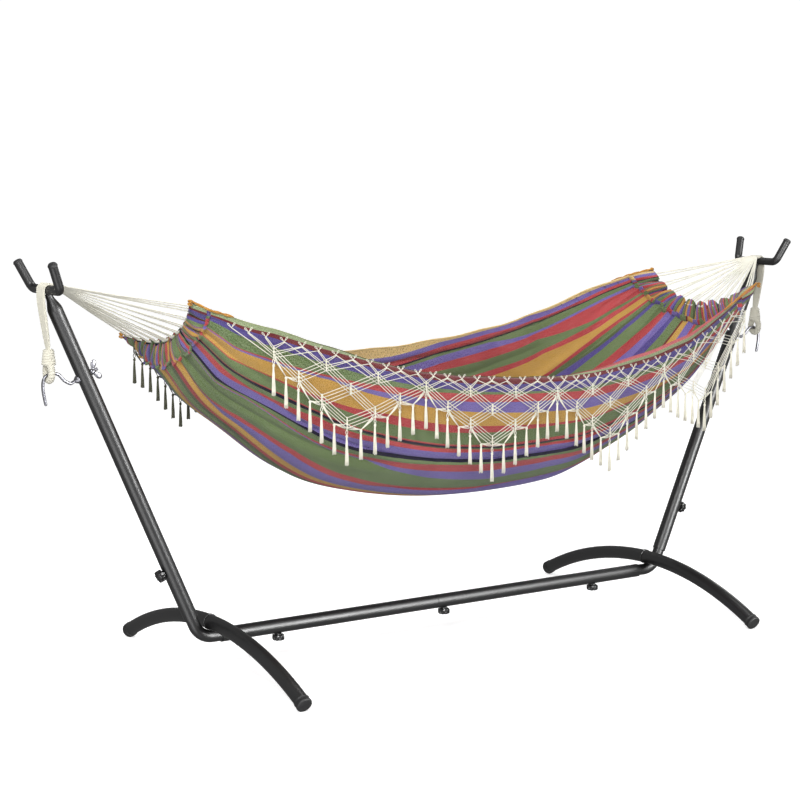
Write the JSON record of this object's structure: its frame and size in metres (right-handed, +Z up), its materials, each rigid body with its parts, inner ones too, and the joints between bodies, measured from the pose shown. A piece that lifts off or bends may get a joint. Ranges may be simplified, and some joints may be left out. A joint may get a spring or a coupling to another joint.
{
  "type": "hammock with steel stand",
  "caption": "Striped fabric hammock with knotted scalloped fringes, hung by fanned cords over splayed head bars of a black tube stand with arched feet.",
  "frame": {"origin": "on the floor under the middle of the stand", "axes": "+Z up, +X along the beam from the left end to the right end, +Y towards the back"},
  "size_m": [2.7088, 1.0506, 1.197],
  "materials": {
    "steel": "satin",
    "end_cap": "matte",
    "knob": "satin",
    "chrome_hardware": "polished",
    "cord": "matte",
    "fringe": "matte",
    "cloth": "matte",
    "hem": "matte",
    "corner_tie": "matte"
  },
  "bodies": {
    "stand": {"beam_left": "steel", "beam_right": "steel", "beam_splice": "steel", "elbow_left": "steel", "elbow_right": "steel", "foot_back_left": "steel", "foot_back_right": "steel", "foot_cap_back_left": "end_cap", "foot_cap_back_right": "end_cap", "foot_cap_front_left": "end_cap", "foot_cap_front_right": "end_cap", "foot_front_left": "steel", "foot_front_right": "steel", "foot_ring_left": "steel", "foot_ring_right": "steel", "head_bar_left": "steel", "head_bar_right": "steel", "hook_left": "chrome_hardware", "hook_right": "chrome_hardware", "prong_plug_back_left": "end_cap", "prong_plug_back_right": "end_cap", "prong_plug_front_left": "end_cap", "prong_plug_front_right": "end_cap", "rope_bundle_left": "cord", "rope_bundle_right": "cord", "rope_eye_left": "cord", "rope_eye_right": "cord", "saddle_washer_left": "chrome_hardware", "saddle_washer_right": "chrome_hardware", "upright_left": "steel", "upright_right": "steel", "whipping_left": "cord", "whipping_right": "cord"},
    "hammock": {"bed": "cloth", "corner_tie_back_left": "corner_tie", "corner_tie_back_right": "corner_tie", "corner_tie_front_left": "corner_tie", "corner_tie_front_right": "corner_tie", "fringe_far": "fringe", "fringe_near": "fringe", "header_left": "cloth", "header_right": "cloth", "hem_far": "hem", "hem_near": "hem", "strings_left": "cord", "strings_right": "cord"},
    "wing_nut_left": {"wing_nut_left": "chrome_hardware"},
    "wing_nut_right": {"wing_nut_right": "chrome_hardware"},
    "beam_knob_left": {"beam_knob_left": "knob"},
    "beam_knob_middle": {"beam_knob_middle": "knob"},
    "beam_knob_right": {"beam_knob_right": "knob"},
    "upright_knob_left": {"upright_knob_left": "knob"},
    "upright_knob_right": {"upright_knob_right": "knob"}
  },
  "joints": [
    {"name": "hammock_swing", "type": "hinge", "parent": "stand", "child": "hammock", "pos_m": [0, 0, 1.117], "axis": [1, 0, 0], "range_deg": [-25, 25]},
    {"name": "wing_nut_left_turn", "type": "hinge", "parent": "stand", "child": "wing_nut_left", "pos_m": [-1.20504, 0, 0.879], "axis": [0.9135, 0, 0.4067], "continuous": true},
    {"name": "wing_nut_right_turn", "type": "hinge", "parent": "stand", "child": "wing_nut_right", "pos_m": [1.20504, 0, 0.879], "axis": [-0.9135, 0, 0.4067], "continuous": true},
    {"name": "beam_knob_left_turn", "type": "hinge", "parent": "stand", "child": "beam_knob_left", "pos_m": [-0.5986, 0, 0.104], "axis": [0, 0, -1], "continuous": true},
    {"name": "beam_knob_middle_turn", "type": "hinge", "parent": "stand", "child": "beam_knob_middle", "pos_m": [0, 0, 0.104], "axis": [0, 0, -1], "continuous": true},
    {"name": "beam_knob_right_turn", "type": "hinge", "parent": "stand", "child": "beam_knob_right", "pos_m": [0.5986, 0, 0.104], "axis": [0, 0, -1], "continuous": true},
    {"name": "upright_knob_left_turn", "type": "hinge", "parent": "stand", "child": "upright_knob_left", "pos_m": [-0.95259, 0, 0.312], "axis": [-0.9135, 0, -0.4067], "continuous": true},
    {"name": "upright_knob_right_turn", "type": "hinge", "parent": "stand", "child": "upright_knob_right", "pos_m": [0.95259, 0, 0.312], "axis": [0.9135, 0, -0.4067], "continuous": true}
  ]
}
